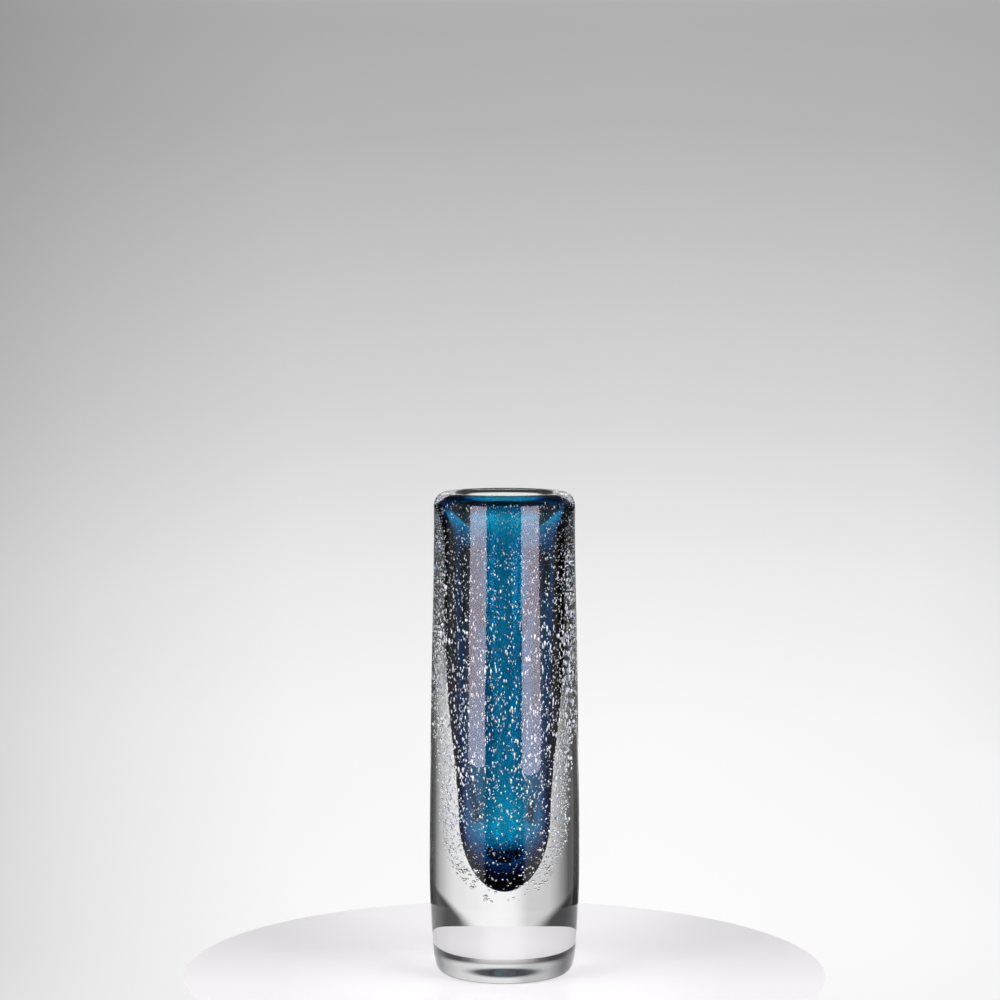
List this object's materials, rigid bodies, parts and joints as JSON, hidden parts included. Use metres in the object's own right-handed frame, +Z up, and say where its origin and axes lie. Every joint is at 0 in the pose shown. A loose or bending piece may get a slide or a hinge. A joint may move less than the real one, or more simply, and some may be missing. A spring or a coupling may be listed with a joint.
{
  "type": "cased glass vase",
  "caption": "Tall heavy-based vase of hand-blown cased glass: clear casing full of fine air bubbles round a blue tapering cavity that holds cut branches or flowers.",
  "frame": {"origin": "centre of the polished foot, on the surface the vase stands on", "axes": "+Z up along the vase's axis of revolution; X and Y are free"},
  "size_m": [0.094, 0.094, 0.3],
  "materials": {
    "clear_lining_glass": "fire polished",
    "turquoise_glass": "transparent",
    "cobalt_glass": "transparent",
    "seeded_glass": "transparent with air bubbles",
    "clear_casing_glass": "fire polished, foot ground and polished"
  },
  "bodies": {
    "root": {"inner_lining": "clear_lining_glass", "turquoise_overlay": "turquoise_glass", "cobalt_overlay": "cobalt_glass", "seeded_gather": "seeded_glass", "outer_casing": "clear_casing_glass"}
  },
  "joints": []
}
